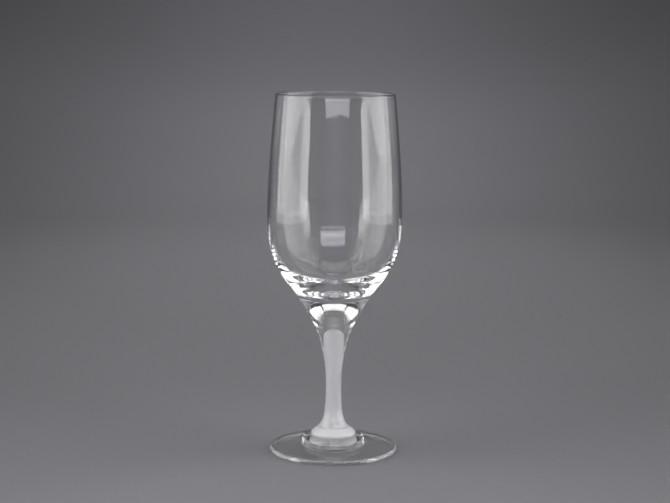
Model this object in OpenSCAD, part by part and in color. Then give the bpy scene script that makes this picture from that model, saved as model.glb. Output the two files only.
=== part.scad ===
// Stemmed beer glass: clear blown bowl, clear stem drawn over a white core, white collar and clear foot.
// Millimetres, +Z up, origin at the centre of the ring that the glass stands on.

/* [Overall] */
// height from the table to the rim
total_h = 190; // [175:1:210]
// height of the bowl, from the steepest part of its base to the rim
bowl_h = 99; // [90:1:110]

/* [Bowl] */
// outside diameter at the rim
rim_d = 63; // [58:0.5:68]
// largest outside diameter
belly_d = 71; // [69:0.5:78]
// height of the largest diameter above the steepest part of the base
belly_rise = 36; // [32:1:44]
// outside diameter at the steepest part of the base
base_d = 51; // [46:0.5:55]
// lean of the outside from the vertical at the steepest part of the base
base_angle = 40; // [36:1:44]
// lean of the wall from the vertical at the rim
rim_angle = 5.3; // [3:0.1:8]
// wall thickness at the rim
rim_wall = 1.2; // [1:0.1:1.8]
// wall thickness at the largest diameter
belly_wall = 1.35; // [1.2:0.05:2.2]
// wall thickness above the steepest part of the base
base_wall = 3.5; // [2.4:0.1:4.4]
// depth of the inside floor below the steepest part of the base
floor_drop = 6.5; // [4:0.5:7.5]

/* [Stem] */
// diameter at the waist
waist_d = 8.2; // [7.4:0.1:10]
// height of the waist
waist_z = 35; // [32:1:40]
// diameter where the stem lands on the collar
stem_end_d = 17; // [15:0.5:18.5]
// thickness of the clear casing over the core
casing = 0.85; // [0.5:0.05:1.1]
// thickness to which the casing runs out where it lands on the collar
casing_end = 0.4; // [0.3:0.05:0.6]
// drop of the bulged joint under the bowl at its middle
joint_sag = 3; // [1:0.5:4]

/* [Core] */
// diameter of the core below its rounded end
core_d = 7.3; // [6.4:0.1:7.8]
// height of the rounded end
dome_h = 5; // [4:0.5:6]
// depth of the top of the core below the steepest part of the base
core_drop = 23.5; // [20:0.5:27]

/* [Collar] */
// diameter of the collar
collar_d = 24; // [22:0.5:26]
// height of the collar
collar_h = 8.2; // [7.6:0.1:9]
// height of the straight side of the collar
collar_side = 4.6; // [4.4:0.1:5]

/* [Foot] */
// diameter of the foot
foot_d = 68; // [62:0.5:76]
// thickness of the rounded edge
edge = 2.3; // [1.8:0.1:2.8]
// height of the seat of the collar above the table
seat_z = 4.3; // [4:0.1:5]
// depth of the seat, which is the part of the collar that the foot holds
seat_depth = 4.1; // [3.6:0.1:4.4]
// diameter of the swelling around the collar
boss_d = 33.6; // [32:0.2:37]
// rise of the hollow underside at its middle
hollow = 1.2; // [0.8:0.1:1.8]
// width of the flat ring that the foot stands on
ring_w = 2; // [1.4:0.2:3]

/* [Hidden] */
$fn = 128;
clear_glass = [0.80, 0.86, 0.88, 0.4];
white_glass = [0.93, 0.93, 0.94];

// steps on each curve
steps = 20;
// share of the curve between waist and base that belongs to the stem
joint_share = 0.78;
// share of the wall below the largest diameter at which the thickness of its base is measured
wall_share = 0.112;
// lean of the inside from the vertical there
inner_angle = 45.2;
// rise of the widest part of the inside above that of the outside
inner_lift = 3.5;
// slope of the top of the foot
foot_slope = 0.05;
// radius of the hollow corner where the swelling rises out of the foot
toe = 0.8;
// lean of the outside where the stem lands on the collar
landing_angle = 52;

// Lengths of the handles that pull each curve, as shares of its rise or reach
waist_pull = 0.4;
base_pull = 0.386;
base_pull_up = 0.34;
belly_pull_down = 0.367;
belly_pull_up = 0.27;
rim_pull = 0.43;
inner_pull_up = 0.23;
inner_pull_down = 0.5;
floor_pull = 0.436;
floor_pull_up = 0.317;
landing_pull = 0.178;
flare_pull = 0.676;
core_pull_up = 0.33;
dome_pull_down = 0.44;
side_pull = 0.32;
shoulder_pull = 0.64;
boss_pull = 0.69;
hollow_pull = 0.45;
ring_pull = [0.77, 0.75];

base_z = total_h - bowl_h;
belly_z = base_z + belly_rise;
floor_z = base_z - floor_drop;
core_top = base_z - core_drop;
dome_z = core_top - dome_h;
collar_top = seat_z + collar_h;
shoulder_z = seat_z + collar_side;
boss_top = seat_z + seat_depth;
core_waist_d = waist_d - 2 * casing;
core_end_d = stem_end_d - 2 * casing_end;

// point of a cubic curve through its two ends, pulled by two handles
function on_curve(a, b, c, d, t) =
    pow(1 - t, 3) * a + 3 * t * pow(1 - t, 2) * b + 3 * t * t * (1 - t) * c + pow(t, 3) * d;

// points of such a curve between two shares of its length
function curve(a, b, c, d, from = 0, to = 1) =
    [for (i = [0 : steps]) on_curve(a, b, c, d, from + (to - from) * i / steps)];

// point at a distance from another, along a line that leans outward from the vertical
function leaning(p, angle, distance) = p + distance * [sin(angle), cos(angle)];

// points of a quarter or half of an ellipse around a centre
function ellipse_arc(centre, rx, rz, from, to) =
    [for (i = [0 : steps]) let (a = from + (to - from) * i / steps) centre + [rx * cos(a), rz * sin(a)]];

// the same points in the opposite order
function backward(points) = [for (i = [len(points) - 1 : -1 : 0]) points[i]];

// all points but the first
function tail(points) = [for (i = [1 : len(points) - 1]) points[i]];

// outside of the stem and of the bowl's base, from the waist to the steepest part
waist = [waist_d / 2, waist_z];
base = [base_d / 2, base_z];
base_span = base_z - waist_z;
function base_curve(from, to) =
    curve(
        waist,
        waist + [0, waist_pull * base_span],
        leaning(base, base_angle, -base_pull * base_span),
        base,
        from,
        to
    );

// wall of the bowl from its widest part to the rim, for the outside or the inside
belly = [belly_d / 2, belly_z];
inner_belly = belly + [-belly_wall, inner_lift];
function wall_above(widest, rim_r) =
    let (
        rise = total_h - widest[1],
        top = [rim_r, total_h - rim_wall / 2]
    )
    curve(
        widest,
        widest + [0, belly_pull_up * rise],
        leaning(top, -rim_angle, -rim_pull * rise),
        top
    );

// outside of the bowl from the steepest part of the base to the largest diameter
function wall_below(from = 0) =
    curve(
        base,
        leaning(base, base_angle, base_pull_up * belly_rise),
        belly - [0, belly_pull_down * belly_rise],
        belly,
        from
    );

// inside of the bowl from the middle of the floor to the thick part of the wall
inner_base = leaning(wall_below(wall_share)[0], base_angle - 90, base_wall);
function floor_curve() =
    curve(
        [0, floor_z],
        [floor_pull * inner_base[0], floor_z],
        leaning(inner_base, inner_angle, -floor_pull_up * inner_base[0]),
        inner_base
    );

// inside of the bowl from there to its widest part
function inner_below() =
    let (rise = inner_belly[1] - inner_base[1])
    curve(
        inner_base,
        leaning(inner_base, inner_angle, inner_pull_up * rise),
        inner_belly - [0, inner_pull_down * rise],
        inner_belly
    );

// rounded rim, from the outside to the inside
function rim_round() =
    ellipse_arc([rim_d / 2 - rim_wall / 2, total_h - rim_wall / 2], rim_wall / 2, rim_wall / 2, 0, 180);

// bulged face on which bowl and stem are joined, from the middle outward
function joint_face() =
    let (edge_point = base_curve(joint_share, 1)[0])
    [for (i = [0 : steps]) let (s = i / steps) [edge_point[0] * s, edge_point[1] - joint_sag * (1 - s * s)]];

// flare from the collar to the waist, for the outside or for the core inside it
function flare(end_r, waist_r) =
    let (
        rise = waist_z - collar_top,
        foot_end = [end_r, collar_top]
    )
    curve(
        foot_end,
        leaning(foot_end, -landing_angle, landing_pull * rise),
        [waist_r, waist_z - flare_pull * rise],
        [waist_r, waist_z]
    );

// side of the core, from the collar over the waist to the top of the rounded end
function core_side() =
    let (
        r = core_d / 2,
        w = core_waist_d / 2,
        rise = dome_z - waist_z
    )
    concat(
        flare(core_end_d / 2, w),
        tail(curve(
            [w, waist_z],
            [w, waist_z + core_pull_up * rise],
            [r, dome_z - dome_pull_down * rise],
            [r, dome_z]
        )),
        tail(ellipse_arc([0, dome_z], r, dome_h, 0, 90))
    );

// top of the collar, from its straight side to the end of the stem
function shoulder() =
    let (
        r = collar_d / 2,
        landing = [stem_end_d / 2, collar_top],
        drop = collar_top - shoulder_z
    )
    curve(
        [r, shoulder_z],
        [r, shoulder_z + side_pull * drop],
        leaning(landing, -landing_angle, -shoulder_pull * drop),
        landing
    );

// rounded edge of the foot, from the table up to the slope of the top
edge_centre = [foot_d / 2 - edge / 2, edge / 2];
function foot_edge() = ellipse_arc(edge_centre, edge / 2, edge / 2, -90, 90 - atan(foot_slope));

// point of the gentle slope on top of the foot
function on_slope(r) =
    let (start = foot_edge()[steps])
    [r, start[1] + foot_slope * (start[0] - r)];

// swelling of the foot around the collar, from the hollow corner at its toe inward
function boss() =
    let (
        r = boss_d / 2,
        corner = on_slope(r),
        side = corner + [0, toe],
        in = [collar_d / 2, boss_top]
    )
    concat(
        curve(on_slope(r + toe), corner, corner, side),
        tail(curve(
            side,
            side + [0, boss_pull * (in[1] - side[1])],
            in + [boss_pull * (r - in[0]), 0],
            in
        ))
    );

// underside of the foot, from the middle of the hollow to the ring that it stands on
function underside() =
    let (r = foot_d / 2 - edge / 2 - ring_w)
    curve([0, hollow], [hollow_pull * r, hollow], [ring_pull[0] * r, ring_pull[1] * hollow], [r, 0]);

function bowl_outline() =
    concat(
        joint_face(),
        tail(base_curve(joint_share, 1)),
        tail(wall_below()),
        tail(wall_above(belly, rim_d / 2)),
        tail(rim_round()),
        tail(backward(wall_above(inner_belly, rim_d / 2 - rim_wall))),
        tail(backward(inner_below())),
        tail(backward(floor_curve()))
    );

function casing_outline() =
    concat(
        flare(stem_end_d / 2, waist_d / 2),
        tail(base_curve(0, joint_share)),
        tail(backward(joint_face())),
        backward(core_side())
    );

function core_outline() = concat([[0, collar_top]], core_side());

function collar_outline() = concat([[0, seat_z], [collar_d / 2, seat_z]], shoulder(), [[0, collar_top]]);

function foot_outline() = concat(underside(), foot_edge(), boss(), [[collar_d / 2, seat_z], [0, seat_z]]);

module bowl() {
    color(clear_glass)
        rotate_extrude()
            polygon(bowl_outline());
}

module stem_casing() {
    color(clear_glass)
        rotate_extrude()
            polygon(casing_outline());
}

module stem_core() {
    color(white_glass)
        rotate_extrude()
            polygon(core_outline());
}

module collar() {
    color(white_glass)
        rotate_extrude()
            polygon(collar_outline());
}

module foot() {
    color(clear_glass)
        rotate_extrude()
            polygon(foot_outline());
}

bowl();
stem_casing();
stem_core();
collar();
foot();
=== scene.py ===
# Looks of the stemmed beer glass: the outline of every solid is turned again in finer steps, as glass.
# Metres, +Z up, origin at the centre of the ring that the glass stands on.
import math

import bmesh
import bpy
from mathutils import Matrix, Vector
from mathutils.geometry import interpolate_bezier


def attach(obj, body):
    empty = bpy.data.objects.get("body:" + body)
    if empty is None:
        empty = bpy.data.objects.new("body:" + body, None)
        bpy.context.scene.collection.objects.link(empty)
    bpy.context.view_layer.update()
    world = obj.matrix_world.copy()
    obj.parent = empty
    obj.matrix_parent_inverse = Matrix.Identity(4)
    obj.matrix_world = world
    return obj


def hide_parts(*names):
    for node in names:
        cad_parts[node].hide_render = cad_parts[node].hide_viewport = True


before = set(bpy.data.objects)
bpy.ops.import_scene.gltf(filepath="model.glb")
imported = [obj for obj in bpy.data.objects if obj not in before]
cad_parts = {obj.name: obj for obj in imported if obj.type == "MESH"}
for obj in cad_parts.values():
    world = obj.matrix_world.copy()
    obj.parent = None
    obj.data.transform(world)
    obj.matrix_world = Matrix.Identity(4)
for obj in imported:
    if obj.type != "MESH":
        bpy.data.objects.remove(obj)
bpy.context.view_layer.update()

MM = 0.001
WHITE = (1, 1, 1)

# Range in which the noise mostly lies
NOISE_RANGE = (0.3, 0.7)

# Turning of the pieces, with steps in a full turn and in one span of an outline
SEGMENTS = 144
FINER = 3
CORNER = math.radians(15)
SAME = 0.005 * MM
INSET = 0.02 * MM

# Glass, with waves and streaks by their number in a metre along each axis
GLASS_IOR = 1.5
POLISH_SCALE = (150, 150, 60)
POLISH_ROUGH = 0.01
WAVE_SCALE = (140, 140, 25)
WAVE_HEIGHT = 0.015 * MM
OPAL_SCALE = (260, 260, 40)
OPAL_CLOUD = (0.975, 1.02)
OPAL_ROUGH = (0.12, 0.2)
OPAL_HEIGHT = 0.02 * MM
# Whites of one opal glass: the cased core's is its own white at the top of its range, raised a little as
# painted light for the shade the casing keeps on it; the bare collar's is painted darker, as painted shade
# for the light that falls on it directly
CASED_WHITE = (0.98, 0.98, 0.985)
CASED_GLOSS = 0
BARE_WHITE_PAINTED_SHADE = (0.7, 0.7, 0.71)
BARE_GLOSS = 0.5

# Camera, with the focal length and the place of the glass in pixels of the image
CAMERA_PLACE = Vector((0, -0.8146, 0.227))
CAMERA_DIP = math.radians(8.385)
CAMERA_ROLL = math.radians(0.41)
FOCAL_PX = 1560
IMAGE_W = 670
AXIS_PX = 334.5
SENSOR_W = 36

# Soft boxes and room, with levels as radiance where 1 is white, and tiers as low edge, high edge and level
SIDE_X = 0.8
SIDE_H = 2.1
SIDE_LEVEL = 2.45
SIDE_FRONT = -0.45
SIDE_BACK = 0.36
LEFT_WING = -0.76
RIGHT_WING = -0.72
WING_TIERS = ((0, 0.3, 1.3 * SIDE_LEVEL), (0.3, 1.5, 0.4 * SIDE_LEVEL))
SIDE_GRADE = (0.85, 1.1)
WASH_W = 1.6
WASH_LEVEL = 1.5
STREAKS = (0, 26, 0.4)
STREAK_LEVELS = (0.5, 1.5)
HIDDEN_BELOW = 0.35
FRONT_PLACE = (0.1, -1.5)
FRONT_W = 1.4
FRONT_TIERS = ((0.36, 0.46, 2.4), (0.49, 0.75, 5.7))
FRONT_COLOUR = (0.97, 0.96, 1.05)
FILL_PLACE = (0, -1.55)
FILL_W = 2.4
FILL_TIERS = ((0.02, 0.8, 0.12),)
BACK_PLACE = (0, 1.45)
BACK_W = 2.4
BACK_TIERS = ((0.33, 1.2, 0.15), (1.2, 2.4, 0.6))
TOP_PLACE = (0, 0.1, 1.5)
TOP_SIZE = (0.98, 0.5)
TOP_LEVEL = 1.6
CEILING_PLACE = (0, -0.33, 1.5)
CEILING_SIZE = (0.98, 0.36)
CEILING_LEVEL = 0.06
ROOM_COLOUR = (0.06, 0.06, 0.0618)
ALL_BOUNCES = 64
GLASS_BOUNCES = 48

# Floor and backdrop, one round sweep, with painted light and shade in the colour of its paper: levels by
# their share of the depth, and darker to the sides
FLOOR_FLAT = 1.0
WALL_R = 1.7
WALL_TOP = 0.9
SWEEP_STEPS = 12
FLOOR_DROP = 0.1 * MM
PAPER = (0.415, 0.413, 0.436)
PAPER_DEPTH = (-0.3, 1.7)
PAPER_PAINTED_LIGHT = ((0, 0.65), (0.11, 0.61), (0.25, 0.52), (0.51, 0.78), (0.81, 0.96), (0.92, 0.68))
# Painted shade of the paper to the sides: how fast it grows from its middle, how many times darker at most
# inside the image and outside it, and the distances between which it eases from one to the other
PAPER_PAINTED_SHADE = 5
PAPER_SHADE_MIDDLE = -0.012
PAPER_SHADE_DARKEST = 2.4
PAPER_SHADE_OUTSIDE = 1.2
PAPER_SHADE_FRAME = (0.6, 0.95)
PAPER_GRAIN = 900
PAPER_CLOUD = (0.97, 1.03)
PAPER_ROUGH = 0.9
PAPER_GLOSS = 0.1


def outline_of(node):
    """Half outline of a round solid: (radius, height) points from one end on the axis to the other."""
    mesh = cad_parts[node].data
    spots = [Vector((math.hypot(v.co.x, v.co.y), v.co.z)) for v in mesh.vertices]
    keys = [(round(s.x / SAME), round(s.y / SAME)) for s in spots]
    rings = []
    ring_of = {}
    for key, spot in zip(keys, spots):
        if key not in ring_of:
            near = [i for i, ring in enumerate(rings) if (ring - spot).length < SAME]
            if not near:
                near = [len(rings)]
                rings.append(spot)
            ring_of[key] = near[0]
    beside = [set() for _ in rings]
    for edge in mesh.edges:
        a, b = (ring_of[keys[v]] for v in edge.vertices)
        if a != b:
            beside[a].add(b)
            beside[b].add(a)
    ends = [i for i, near in enumerate(beside) if len(near) == 1]
    path = [min(ends, key=lambda i: rings[i].y)]
    onward = beside[path[0]]
    while onward:
        path.append(min(onward))
        onward = beside[path[-1]] - {path[-2]}
    points = [rings[i] for i in path]
    on_axis = [[Vector((0, p.y))] if p.x > SAME else [] for p in (points[0], points[-1])]
    return on_axis[0] + points + on_axis[1]


def direction_at(points, i):
    """Direction of an outline at one of its points, or nothing at its ends and corners."""
    if i in (0, len(points) - 1):
        return None
    before = points[i] - points[i - 1]
    after = points[i + 1] - points[i]
    if before.angle(after) > CORNER:
        return None
    return (before.normalized() * after.length + after.normalized() * before.length).normalized()


def mirrored(direction, along):
    """The direction at the other end of an arc that has this one at its near end."""
    return 2 * direction.dot(along) * along - direction


def finer_span(points, i):
    """Points on the smooth curve from one point of an outline to the next, without the last."""
    a, b = points[i], points[i + 1]
    along = (b - a).normalized()
    leave = direction_at(points, i)
    arrive = direction_at(points, i + 1)
    leave = leave or mirrored(arrive or along, along)
    arrive = arrive or mirrored(leave, along)
    pull = (b - a).length / 3
    curve = interpolate_bezier(a, a + pull * leave, b - pull * arrive, b, FINER + 1)[:-1]
    lowest = min(p.y for p in points)
    highest = max(p.y for p in points)
    return [Vector((p.x, max(lowest, min(highest, p.y)))) for p in curve]


def distance_to(outline, spot):
    """Shortest distance from a spot to an outline."""
    best = math.inf
    for a, b in zip(outline, outline[1:]):
        along = b - a
        t = max(0, min(1, (spot - a).dot(along) / along.length_squared))
        best = min(best, (a + t * along - spot).length)
    return best


def inset(points):
    """An outline drawn in a little from its own faces."""
    shifted = []
    for i, p in enumerate(points):
        before = points[max(i - 1, 0)]
        after = points[min(i + 1, len(points) - 1)]
        along = (after - before).normalized()
        moved = p + INSET * Vector((-along.y, along.x))
        shifted.append(Vector((max(moved.x, 0) if p.x > SAME else 0, moved.y)))
    return shifted


def turn(name, spans, materials):
    """Round piece from spans of an outline, each a list of points and a material index."""
    points = [(p, index) for span, index in spans for p in span]
    mesh = bmesh.new()
    rings = []
    for p, _ in points:
        count = SEGMENTS if p.x > SAME else 1
        angles = [2 * math.pi * k / SEGMENTS for k in range(count)]
        rings.append([mesh.verts.new((p.x * math.cos(a), p.x * math.sin(a), p.y)) for a in angles])
    for (ring, onward), (_, index) in zip(zip(rings, rings[1:]), points):
        for k in range(SEGMENTS):
            corners = [ring[k % len(ring)], ring[(k + 1) % len(ring)]]
            corners += [onward[(k + 1) % len(onward)], onward[k % len(onward)]]
            face = mesh.faces.new(dict.fromkeys(corners))
            face.material_index = index
            face.smooth = True
    for i, ring in enumerate(rings[1:-1], 1):
        before = points[i][0] - points[i - 1][0]
        after = points[i + 1][0] - points[i][0]
        if before.angle(after) > CORNER:
            for k in range(len(ring)):
                mesh.edges.get((ring[k], ring[(k + 1) % len(ring)])).smooth = False
    bmesh.ops.recalc_face_normals(mesh, faces=mesh.faces)
    data = bpy.data.meshes.new(name)
    mesh.to_mesh(data)
    mesh.free()
    for material in materials:
        data.materials.append(material)
    piece = bpy.data.objects.new(name, data)
    bpy.context.scene.collection.objects.link(piece)
    return piece


def new_material(name):
    """Material with its node tree and its main shader."""
    material = bpy.data.materials.new(name)
    material.use_nodes = True
    return material, material.node_tree, material.node_tree.nodes["Principled BSDF"]


def add(tree, kind, values=None, links=None):
    """Node with values on some of its inputs, and other nodes' outputs on the rest."""
    node = tree.nodes.new("ShaderNode" + kind)
    for name, value in (values or {}).items():
        node.inputs[name].default_value = value
    for name, output in (links or {}).items():
        tree.links.new(output, node.inputs[name])
    return node


def maths(tree, operation, a, b=0):
    """Result of an operation on one or two numbers, each a value or an output."""
    node = tree.nodes.new("ShaderNodeMath")
    node.operation = operation
    for socket, number in zip(node.inputs, (a, b)):
        if isinstance(number, bpy.types.NodeSocket):
            tree.links.new(number, socket)
        else:
            socket.default_value = number
    return node.outputs["Value"]


def spread(tree, number, source, low, high):
    """Number moved from its own range into the one between two levels."""
    ends = {"From Min": source[0], "From Max": source[1], "To Min": low, "To Max": high}
    return add(tree, "MapRange", ends, {"Value": number}).outputs["Result"]


def tinted(tree, shader, colour, level):
    """Gives a shader a colour whose level varies over the surface."""
    tint = tree.nodes.new("ShaderNodeVectorMath")
    tint.operation = "SCALE"
    tint.inputs[0].default_value = colour
    tree.links.new(level, tint.inputs["Scale"])
    tree.links.new(tint.outputs["Vector"], shader.inputs["Base Color"])


def grain(tree, place, scale, low, high):
    """Noise of a scale along each axis, spread between two levels."""
    stretched = add(tree, "Mapping", {"Scale": scale}, {"Vector": place})
    noise = add(tree, "TexNoise", {"Scale": 1}, {"Vector": stretched.outputs["Vector"]})
    return spread(tree, noise.outputs["Fac"], NOISE_RANGE, low, high)


def ripple(tree, place, scale, height):
    """Shallow waves of a scale along each axis."""
    waves = grain(tree, place, scale, 0, 1)
    return add(tree, "Bump", {"Distance": height}, {"Height": waves}).outputs["Normal"]


def clear_glass():
    """Clear fire-polished glass, faintly wavy from the blowing."""
    material, tree, shader = new_material("clear_glass")
    shader.inputs["Base Color"].default_value = (*WHITE, 1)
    shader.inputs["IOR"].default_value = GLASS_IOR
    shader.inputs["Transmission Weight"].default_value = 1
    place = add(tree, "TexCoord").outputs["Object"]
    polish = grain(tree, place, POLISH_SCALE, 0, POLISH_ROUGH)
    tree.links.new(polish, shader.inputs["Roughness"])
    tree.links.new(ripple(tree, place, WAVE_SCALE, WAVE_HEIGHT), shader.inputs["Normal"])
    return material


def fused_seam():
    """Face where two gathers of glass have become one, which can't be seen."""
    material, _, shader = new_material("fused_seam")
    shader.inputs["Alpha"].default_value = 0
    return material


def white_glass(name, colour, gloss):
    """Opaque white glass, drawn into faint streaks, with a gloss where it is bare."""
    material, tree, shader = new_material(name)
    shader.inputs["Specular IOR Level"].default_value = gloss
    place = add(tree, "TexCoord").outputs["Object"]
    tinted(tree, shader, colour, grain(tree, place, OPAL_SCALE, *OPAL_CLOUD))
    tree.links.new(grain(tree, place, POLISH_SCALE, *OPAL_ROUGH), shader.inputs["Roughness"])
    tree.links.new(ripple(tree, place, OPAL_SCALE, OPAL_HEIGHT), shader.inputs["Normal"])
    return material


def clear_piece(node, outlines, glass, seam):
    """Clear piece of the glass, with unseen faces where it is fused to another piece."""
    points = outlines[node]
    others = [outline for name, outline in outlines.items() if name != node]
    spans = []
    for i in range(len(points) - 1):
        middle = (points[i] + points[i + 1]) / 2
        fused = min(distance_to(other, middle) for other in others) < SAME
        spans.append((finer_span(points, i), int(fused)))
    spans.append(([points[-1]], 0))
    return turn("clear_" + node, spans, [glass, seam])


def white_piece(node, outlines, glass):
    """White piece of the glass, drawn in a little from the clear glass around it."""
    points = outlines[node]
    fine = [p for i in range(len(points) - 1) for p in finer_span(points, i)]
    return turn("white_" + node, [(inset(fine + [points[-1]]), 0)], [glass])


def belongs(piece, node):
    """Puts a piece under the root body and hides the solid that it stands for."""
    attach(piece, "root")
    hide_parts(node)


def paper_painted_light(tree, y):
    """Painted light and shade of the paper from the front to the back of the sweep."""
    shades = add(tree, "ValToRGB", links={"Fac": spread(tree, y, PAPER_DEPTH, 0, 1)})
    shades.color_ramp.interpolation = "CARDINAL"
    stops = shades.color_ramp.elements
    while len(stops) < len(PAPER_PAINTED_LIGHT):
        stops.new(1)
    for stop, (at, shade) in zip(stops, PAPER_PAINTED_LIGHT):
        stop.position = at
        stop.color = (shade, shade, shade, 1)
    return shades.outputs["Color"]


def paper_painted_shade(tree, x):
    """How many times darker the painted shade makes the paper to the sides, less so outside the image."""
    aside = maths(tree, "SUBTRACT", x, PAPER_SHADE_MIDDLE)
    squared = maths(tree, "MULTIPLY", aside, aside)
    darker = maths(tree, "ADD", maths(tree, "MULTIPLY", squared, PAPER_PAINTED_SHADE), 1)
    distance = maths(tree, "ABSOLUTE", aside)
    limit = spread(tree, distance, PAPER_SHADE_FRAME, PAPER_SHADE_DARKEST, PAPER_SHADE_OUTSIDE)
    return maths(tree, "MINIMUM", darker, limit)


def paper():
    """Grey paper of the sweep, with painted light behind the glass, painted shade to the sides and a faint
    grain.
    """
    material, tree, shader = new_material("paper")
    shader.inputs["Roughness"].default_value = PAPER_ROUGH
    shader.inputs["Specular IOR Level"].default_value = PAPER_GLOSS
    place = add(tree, "TexCoord").outputs["Object"]
    axes = add(tree, "SeparateXYZ", links={"Vector": place}).outputs
    # Painted light by depth, divided by painted shade to the sides
    level = maths(tree, "DIVIDE", paper_painted_light(tree, axes["Y"]), paper_painted_shade(tree, axes["X"]))
    cloud = grain(tree, place, (PAPER_GRAIN,) * 3, *PAPER_CLOUD)
    tinted(tree, shader, PAPER, maths(tree, "MULTIPLY", level, cloud))
    return material


def sweep():
    """Floor that curves up into a backdrop all round."""
    bend = WALL_R - FLOOR_FLAT
    rings = [(0, 0), (FLOOR_FLAT, 0)]
    for i in range(1, SWEEP_STEPS + 1):
        angle = math.pi / 2 * i / SWEEP_STEPS
        rings.append((FLOOR_FLAT + bend * math.sin(angle), bend * (1 - math.cos(angle))))
    rings.append((WALL_R, WALL_TOP))
    outline = [Vector((r, z - FLOOR_DROP)) for r, z in rings]
    floor = turn("floor", [(outline, 0)], [paper()])


def seen_share(tree):
    """Share of a panel's light that is seen: none from behind or, low down, straight through clear glass."""
    path = add(tree, "LightPath").outputs
    turns = maths(tree, "ADD", path["Glossy Depth"], path["Diffuse Depth"])
    straight = maths(tree, "MULTIPLY", path["Is Transmission Ray"], maths(tree, "LESS_THAN", turns, 1))
    spot = add(tree, "NewGeometry").outputs
    height = add(tree, "SeparateXYZ", links={"Vector": spot["Position"]}).outputs["Z"]
    through = maths(tree, "MULTIPLY", straight, maths(tree, "LESS_THAN", height, HIDDEN_BELOW))
    return maths(tree, "SUBTRACT", 1, maths(tree, "MAXIMUM", through, spot["Backfacing"]))


def hung_cloth(tree):
    """Share of the light that a streaked cloth lets through, more of it towards the front."""
    spot = add(tree, "NewGeometry").outputs["Position"]
    streaks = grain(tree, spot, STREAKS, *STREAK_LEVELS)
    depth = add(tree, "SeparateXYZ", links={"Vector": spot}).outputs["Y"]
    grade = spread(tree, depth, (SIDE_BACK, SIDE_FRONT), *SIDE_GRADE)
    return maths(tree, "MULTIPLY", streaks, grade)


def glow(name, level, colour, cloth):
    """Light of a soft box, added to what is behind it."""
    material, tree, shader = new_material(name)
    material.cycles.emission_sampling = "FRONT"
    tree.nodes.remove(shader)
    strength = maths(tree, "MULTIPLY", seen_share(tree), level)
    if cloth:
        strength = maths(tree, "MULTIPLY", strength, hung_cloth(tree))
    shine = add(tree, "Emission", {"Color": (*colour, 1)}, {"Strength": strength})
    behind = add(tree, "BsdfTransparent")
    both = add(tree, "AddShader")
    tree.links.new(shine.outputs["Emission"], both.inputs[0])
    tree.links.new(behind.outputs["BSDF"], both.inputs[1])
    tree.links.new(both.outputs["Shader"], tree.nodes["Material Output"].inputs["Surface"])
    return material


def soft_box(name, place, target, size, level, colour=WHITE, cloth=False):
    """Flat soft box that reflects in the glass, and that the camera doesn't see."""
    w, h = size
    corners = [(x * w / 2, y * h / 2, 0) for x, y in ((-1, -1), (-1, 1), (1, 1), (1, -1))]
    panel = bpy.data.meshes.new(name)
    panel.from_pydata(corners, [], [range(len(corners))])
    panel.materials.append(glow(name, level, colour, cloth))
    box = bpy.data.objects.new(name, panel)
    box.location = place
    box.rotation_euler = (Vector(target) - Vector(place)).to_track_quat("-Z", "Y").to_euler()
    box.visible_camera = False
    box.visible_shadow = False
    bpy.context.scene.collection.objects.link(box)


def side_box(name, x, front, back, low, high, level):
    """Upright soft box beside the glass, hung with cloth."""
    place = (x, (front + back) / 2, (low + high) / 2)
    soft_box(name, place, (0, *place[1:]), (back - front, high - low), level, cloth=True)


def upright(name, place, width, tiers, colour=WHITE):
    """Upright soft boxes one above the other, each from a low to a high edge at its own level."""
    for i, (low, high, level) in enumerate(tiers):
        z = (low + high) / 2
        soft_box(f"{name}_{i}", (*place, z), (0, 0, z), (width, high - low), level, colour)


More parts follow.
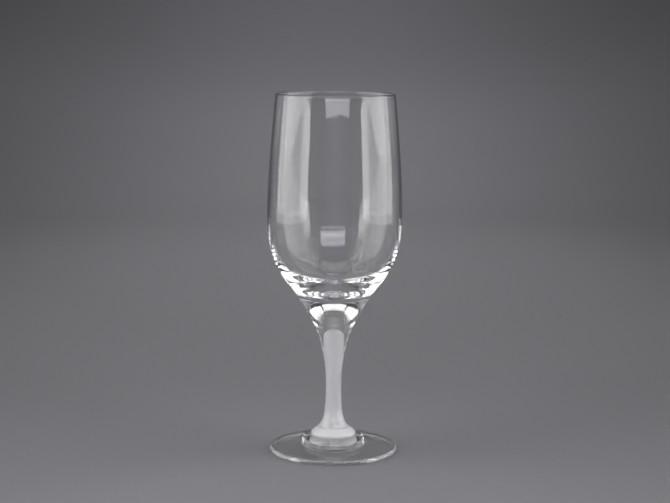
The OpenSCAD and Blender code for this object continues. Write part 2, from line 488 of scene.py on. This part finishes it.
def light():
    """Soft boxes at both sides, in front and overhead, in a dim room."""
    for side, x, wing in (("left", -SIDE_X, LEFT_WING), ("right", SIDE_X, RIGHT_WING)):
        side_box(side + "_box", x, SIDE_FRONT, SIDE_BACK, 0, SIDE_H, SIDE_LEVEL)
        for i, (low, high, level) in enumerate(WING_TIERS):
            side_box(f"{side}_wing_{i}", x, wing, SIDE_FRONT, low, high, level)
        soft_box(side + "_wash", (x, 0, SIDE_H / 2), (2 * x, 0, SIDE_H / 2), (WASH_W, SIDE_H), WASH_LEVEL)
    upright("front_box", FRONT_PLACE, FRONT_W, FRONT_TIERS, FRONT_COLOUR)
    upright("fill", FILL_PLACE, FILL_W, FILL_TIERS)
    upright("back_fill", BACK_PLACE, BACK_W, BACK_TIERS)
    down = Vector((0, 0, -1))
    soft_box("top_box", TOP_PLACE, Vector(TOP_PLACE) + down, TOP_SIZE, TOP_LEVEL)
    soft_box("ceiling", CEILING_PLACE, Vector(CEILING_PLACE) + down, CEILING_SIZE, CEILING_LEVEL)
    room = bpy.data.worlds.new("room")
    room.use_nodes = True
    room.node_tree.nodes["Background"].inputs["Color"].default_value = (*ROOM_COLOUR, 1)
    bpy.context.scene.world = room


def camera():
    """Camera at the photograph's place."""
    lens = bpy.data.cameras.new("camera")
    lens.sensor_width = SENSOR_W
    lens.lens = SENSOR_W * FOCAL_PX / IMAGE_W
    lens.shift_x = (IMAGE_W / 2 - AXIS_PX) / IMAGE_W
    eye = bpy.data.objects.new("camera", lens)
    eye.location = CAMERA_PLACE
    tilt = Matrix.Rotation(math.pi / 2 - CAMERA_DIP, 3, "X") @ Matrix.Rotation(CAMERA_ROLL, 3, "Z")
    eye.rotation_euler = tilt.to_euler()
    bpy.context.scene.collection.objects.link(eye)
    bpy.context.scene.camera = eye


def bounces():
    """Enough bounces for light that is reflected many times inside the thick base and the foot."""
    cycles = bpy.context.scene.cycles
    cycles.max_bounces = ALL_BOUNCES
    cycles.glossy_bounces = GLASS_BOUNCES
    cycles.transmission_bounces = GLASS_BOUNCES
    cycles.transparent_max_bounces = GLASS_BOUNCES


def glass():
    """All pieces of the glass."""
    outlines = {node: outline_of(node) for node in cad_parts}
    clear = clear_glass()
    seam = fused_seam()
    for node in ("bowl", "stem_casing", "foot"):
        belongs(clear_piece(node, outlines, clear, seam), node)
    core = white_glass("cased_white", CASED_WHITE, CASED_GLOSS)
    belongs(white_piece("stem_core", outlines, core), "stem_core")
    # The collar's white is painted darker than the core's, as painted shade for its direct light
    bare = white_glass("bare_white_painted_shade", BARE_WHITE_PAINTED_SHADE, BARE_GLOSS)
    belongs(white_piece("collar", outlines, bare), "collar")


bpy.context.scene.view_settings.view_transform = "Standard"
camera()
light()
sweep()
glass()
bounces()
